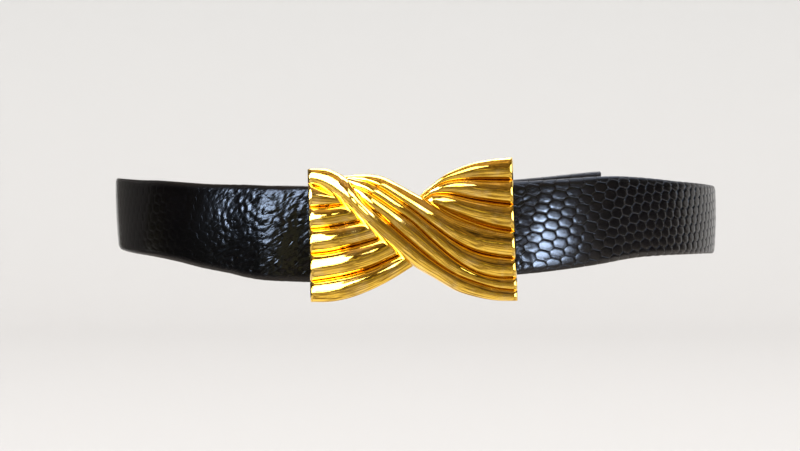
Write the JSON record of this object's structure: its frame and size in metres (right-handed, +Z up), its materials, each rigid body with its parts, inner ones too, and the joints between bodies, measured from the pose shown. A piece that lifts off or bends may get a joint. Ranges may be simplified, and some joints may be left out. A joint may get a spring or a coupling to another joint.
{
  "type": "leather belt with twisted metal buckle plate",
  "caption": "Waist belt of glossy black reptile-grain leather, closed in an oval loop, with a fluted gold-coloured buckle plate shaped as a twisted sash.",
  "frame": {"origin": "middle of the waist that the belt goes round, at the buckle's mid height", "axes": "+X to the right of a viewer who faces the buckle, -Y from the waist towards the buckle, +Z up"},
  "size_m": [0.2447, 0.2006, 0.0495],
  "materials": {
    "leather": "glossy black, reptile grain of overlapping scales",
    "gold": "polished gold-coloured plating",
    "pin": "plain drawn wire"
  },
  "bodies": {
    "root": {"buckle_plate": "gold", "strap": "leather", "left_bar": "pin", "right_bar": "pin"}
  },
  "joints": []
}
